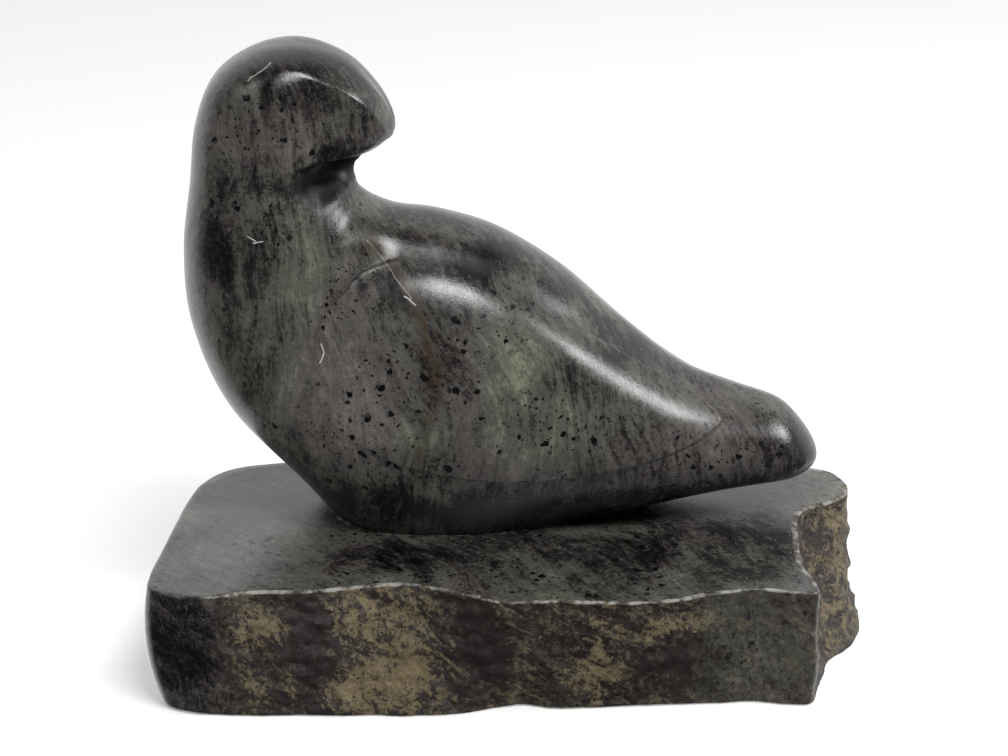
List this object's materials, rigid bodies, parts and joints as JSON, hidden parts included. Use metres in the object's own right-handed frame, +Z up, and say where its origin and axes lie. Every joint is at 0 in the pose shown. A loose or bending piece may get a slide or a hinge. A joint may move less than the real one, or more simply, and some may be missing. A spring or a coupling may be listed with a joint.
{
  "type": "soapstone bird carving",
  "caption": "Polished dark green soapstone carving of a resting bird with its head turned back over its shoulders, carved in one piece with a slab base that has rough broken sides.",
  "frame": {"origin": "middle of the bounding box, on the flat underside of the base", "axes": "+Z up; +X from the bird's breast towards its tail, along the length of the base; +Y from the base's wide front towards its back"},
  "size_m": [0.2458, 0.1264, 0.2101],
  "materials": {
    "soapstone": "polished"
  },
  "bodies": {
    "root": {"bird_on_base": "soapstone"}
  },
  "joints": []
}
